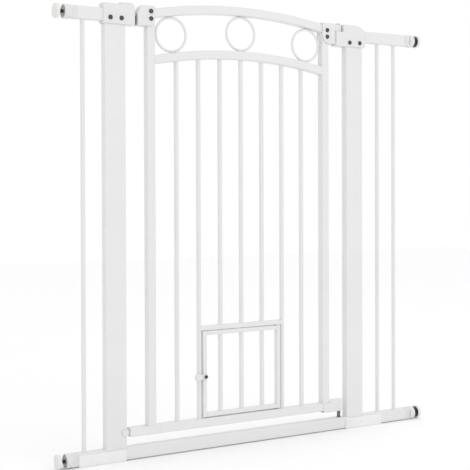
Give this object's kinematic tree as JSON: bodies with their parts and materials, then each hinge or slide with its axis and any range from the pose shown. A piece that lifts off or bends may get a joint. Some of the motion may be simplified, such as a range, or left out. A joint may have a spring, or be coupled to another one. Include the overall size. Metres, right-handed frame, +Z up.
{
  "type": "pet gate",
  "caption": "Tall barred walk-through pet gate with an arched door, a low barred cat door and threaded wall feet.",
  "frame": {"origin": "on the floor, in the middle of the gate's overall width and depth", "axes": "+X along the gate towards the hinge side, +Z up; the front faces -Y"},
  "size_m": [1, 0.032, 1.024],
  "materials": {
    "white_powder_coat": "satin",
    "sleeve_white": "satin",
    "white_plastic": "satin",
    "warm_white_plastic": "satin",
    "dark_steel": "satin",
    "steel_pin": "satin",
    "grey_bush": "satin"
  },
  "bodies": {
    "frame": {"threshold_tube": "white_powder_coat", "left_post": "white_powder_coat", "right_post": "white_powder_coat", "left_top_rail": "white_powder_coat", "left_bottom_rail": "white_powder_coat", "right_top_rail": "white_powder_coat", "right_bottom_rail": "white_powder_coat", "left_panel_bar": "white_powder_coat", "right_inner_bar": "white_powder_coat", "right_outer_bar": "white_powder_coat", "end_plugs": "warm_white_plastic", "left_base_sleeve": "sleeve_white", "right_base_sleeve": "sleeve_white", "latch_housing": "white_plastic", "hinge_housing": "white_plastic", "housing_screws": "dark_steel", "bottom_catch": "white_plastic", "hinge_socket": "grey_bush"},
    "latch": {"thumb_slide": "white_plastic", "latch_bolt": "grey_bush"},
    "door": {"door_left_stile": "white_powder_coat", "door_right_stile": "white_powder_coat", "upper_arch": "white_powder_coat", "lower_arch": "white_powder_coat", "door_bottom_rail": "white_powder_coat", "door_bar_1": "white_powder_coat", "door_bar_2": "white_powder_coat", "door_bar_6": "white_powder_coat", "door_bar_7": "white_powder_coat", "short_door_bars": "white_powder_coat", "cat_door_lintel": "white_powder_coat", "arch_rings": "white_powder_coat", "striker_bracket": "white_plastic", "hinge_bracket": "white_plastic", "door_screws": "dark_steel", "upper_hinge_pin": "steel_pin", "lower_hinge_block": "white_plastic", "lower_hinge_pin": "steel_pin", "door_end_cap": "warm_white_plastic"},
    "cat_door": {"cat_left_stile": "white_powder_coat", "cat_right_stile": "white_powder_coat", "cat_top_rail": "white_powder_coat", "cat_bottom_rail": "white_powder_coat", "cat_door_bars": "white_powder_coat", "cat_hinge_pins": "steel_pin"},
    "cat_latch": {"cat_latch_knob": "white_plastic", "cat_latch_bolt": "dark_steel"},
    "wheel_top_left": {"thumb_wheel_top_left": "white_plastic"},
    "spindle_top_left": {"threaded_rod_top_left": "steel_pin", "wall_foot_top_left": "warm_white_plastic"},
    "wheel_bottom_left": {"thumb_wheel_bottom_left": "white_plastic"},
    "spindle_bottom_left": {"threaded_rod_bottom_left": "steel_pin", "wall_foot_bottom_left": "warm_white_plastic"},
    "wheel_top_right": {"thumb_wheel_top_right": "white_plastic"},
    "spindle_top_right": {"threaded_rod_top_right": "steel_pin", "wall_foot_top_right": "warm_white_plastic"},
    "wheel_bottom_right": {"thumb_wheel_bottom_right": "white_plastic"},
    "spindle_bottom_right": {"threaded_rod_bottom_right": "steel_pin", "wall_foot_bottom_right": "warm_white_plastic"}
  },
  "joints": [
    {"name": "door_swing", "type": "hinge", "parent": "frame", "child": "door", "pos_m": [0.246, 0, 0.5], "axis": [0, 0, 1], "range_deg": [-90, 90]},
    {"name": "latch_slide", "type": "slide", "parent": "frame", "child": "latch", "axis": [1, 0, 0], "range_m": [0, 0.012]},
    {"name": "cat_door_swing", "type": "hinge", "parent": "door", "child": "cat_door", "pos_m": [0.056, 0, 0.17], "axis": [0, 0, 1], "range_deg": [0, 90]},
    {"name": "cat_latch_turn", "type": "hinge", "parent": "cat_door", "child": "cat_latch", "pos_m": [-0.138, 0, 0.167], "axis": [0, 1, 0], "range_deg": [0, 180]},
    {"name": "wheel_top_left_turn", "type": "hinge", "parent": "frame", "child": "wheel_top_left", "pos_m": [-0.474, 0, 0.98], "axis": [-1, 0, 0], "range_deg": [0, 7210]},
    {"name": "spindle_top_left_slide", "type": "slide", "parent": "frame", "child": "spindle_top_left", "axis": [-1, 0, 0], "range_m": [0, 0.025]},
    {"name": "wheel_bottom_left_turn", "type": "hinge", "parent": "frame", "child": "wheel_bottom_left", "pos_m": [-0.474, 0, 0.016], "axis": [-1, 0, 0], "range_deg": [0, 7210]},
    {"name": "spindle_bottom_left_slide", "type": "slide", "parent": "frame", "child": "spindle_bottom_left", "axis": [-1, 0, 0], "range_m": [0, 0.025]},
    {"name": "wheel_top_right_turn", "type": "hinge", "parent": "frame", "child": "wheel_top_right", "pos_m": [0.474, 0, 0.98], "axis": [1, 0, 0], "range_deg": [0, 7210]},
    {"name": "spindle_top_right_slide", "type": "slide", "parent": "frame", "child": "spindle_top_right", "axis": [1, 0, 0], "range_m": [0, 0.025]},
    {"name": "wheel_bottom_right_turn", "type": "hinge", "parent": "frame", "child": "wheel_bottom_right", "pos_m": [0.474, 0, 0.016], "axis": [1, 0, 0], "range_deg": [0, 7210]},
    {"name": "spindle_bottom_right_slide", "type": "slide", "parent": "frame", "child": "spindle_bottom_right", "axis": [1, 0, 0], "range_m": [0, 0.025]}
  ],
  "couplings": [
    {"joint": "wheel_top_left_turn", "follows": "spindle_top_left_slide", "rad_per_m": 5026.5},
    {"joint": "wheel_bottom_left_turn", "follows": "spindle_bottom_left_slide", "rad_per_m": 5026.5},
    {"joint": "wheel_top_right_turn", "follows": "spindle_top_right_slide", "rad_per_m": 5026.5},
    {"joint": "wheel_bottom_right_turn", "follows": "spindle_bottom_right_slide", "rad_per_m": 5026.5}
  ]
}
